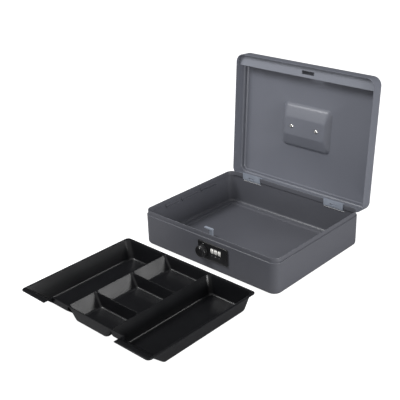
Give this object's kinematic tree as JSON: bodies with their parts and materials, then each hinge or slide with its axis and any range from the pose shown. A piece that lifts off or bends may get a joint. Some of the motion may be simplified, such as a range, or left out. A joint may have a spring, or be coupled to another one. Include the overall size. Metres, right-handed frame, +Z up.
{
  "type": "cash box",
  "caption": "Steel cash box with a hinged lid, a combination lock with a turn knob and sliding hook, a folding carry handle and a lift-out coin tray standing in front.",
  "frame": {"origin": "centre of the flat base panel of the box, on the table", "axes": "+X to the right seen from the lock side, +Y from the lock towards the hinges, +Z up"},
  "size_m": [0.3005, 0.5714, 0.2983],
  "materials": {
    "anthracite_powder_coat": "fine-textured powder coat, semi-matt",
    "zinc_plate": "bright zinc plated steel",
    "nickel_plate": "bright nickel plate",
    "spring_steel": "plain spring steel",
    "black_plastic": "black moulded plastic, glossy",
    "black_tray_plastic": "black polystyrene, satin",
    "white_plastic": "white moulded plastic"
  },
  "bodies": {
    "box": {"body_shell": "anthracite_powder_coat", "tray_rest_left_front": "anthracite_powder_coat", "tray_rest_left_middle": "anthracite_powder_coat", "tray_rest_left_rear": "anthracite_powder_coat", "tray_rest_right_front": "anthracite_powder_coat", "tray_rest_right_middle": "anthracite_powder_coat", "tray_rest_right_rear": "anthracite_powder_coat", "hinge_body_leaf_left": "zinc_plate", "hinge_body_leaf_right": "zinc_plate", "hinge_pin_left": "spring_steel", "hinge_pin_right": "spring_steel", "lock_escutcheon": "black_plastic", "lock_case": "zinc_plate", "lock_cover": "zinc_plate", "lock_screw_1": "nickel_plate", "lock_screw_2": "nickel_plate", "lock_screw_3": "nickel_plate", "wheel_axle": "zinc_plate", "wheel_detent_spring": "spring_steel", "knob_return_spring": "spring_steel"},
    "lid": {"lid_shell": "anthracite_powder_coat", "lid_latch_rail": "anthracite_powder_coat", "hinge_lid_leaf_left": "zinc_plate", "hinge_lid_leaf_right": "zinc_plate", "handle_post_left": "nickel_plate", "handle_post_right": "nickel_plate", "handle_rivet_left": "nickel_plate", "handle_rivet_right": "nickel_plate"},
    "handle": {"carry_handle": "nickel_plate"},
    "knob": {"turn_knob": "black_plastic", "knob_spindle": "zinc_plate"},
    "latch": {"latch_hook": "zinc_plate"},
    "wheel_1": {"number_wheel_1": "white_plastic"},
    "wheel_2": {"number_wheel_2": "white_plastic"},
    "wheel_3": {"number_wheel_3": "white_plastic"},
    "tray": {"coin_tray": "black_tray_plastic"}
  },
  "joints": [
    {"name": "lid_hinge", "type": "hinge", "parent": "box", "child": "lid", "pos_m": [0, 0.1219, 0.056], "axis": [1, 0, 0], "range_deg": [0, 93.8]},
    {"name": "handle_hinge", "type": "hinge", "parent": "lid", "child": "handle", "pos_m": [0.0015, 0.15988, 0.17665], "axis": [1, 0, 0], "range_deg": [0, 90]},
    {"name": "knob_turn", "type": "hinge", "parent": "box", "child": "knob", "pos_m": [-0.004, -0.12375, 0.0359], "axis": [0, 1, 0], "range_deg": [0, 90], "stiffness_Nm_per_rad": 0.02},
    {"name": "latch_slide", "type": "slide", "parent": "box", "child": "latch", "axis": [1, 0, 0], "range_m": [0, 0.0113]},
    {"name": "wheel_1_spin", "type": "hinge", "parent": "box", "child": "wheel_1", "pos_m": [0.0166, -0.1149, 0.0409], "axis": [1, 0, 0], "continuous": true},
    {"name": "wheel_2_spin", "type": "hinge", "parent": "box", "child": "wheel_2", "pos_m": [0.0245, -0.1149, 0.0409], "axis": [1, 0, 0], "continuous": true},
    {"name": "wheel_3_spin", "type": "hinge", "parent": "box", "child": "wheel_3", "pos_m": [0.0324, -0.1149, 0.0409], "axis": [1, 0, 0], "continuous": true},
    {"name": "tray_lift", "type": "slide", "parent": "box", "child": "tray", "axis": [0, 0, 1], "range_m": [0, 0.1]}
  ],
  "couplings": [
    {"joint": "knob_turn", "follows": "latch_slide", "rad_per_m": 138.89}
  ]
}
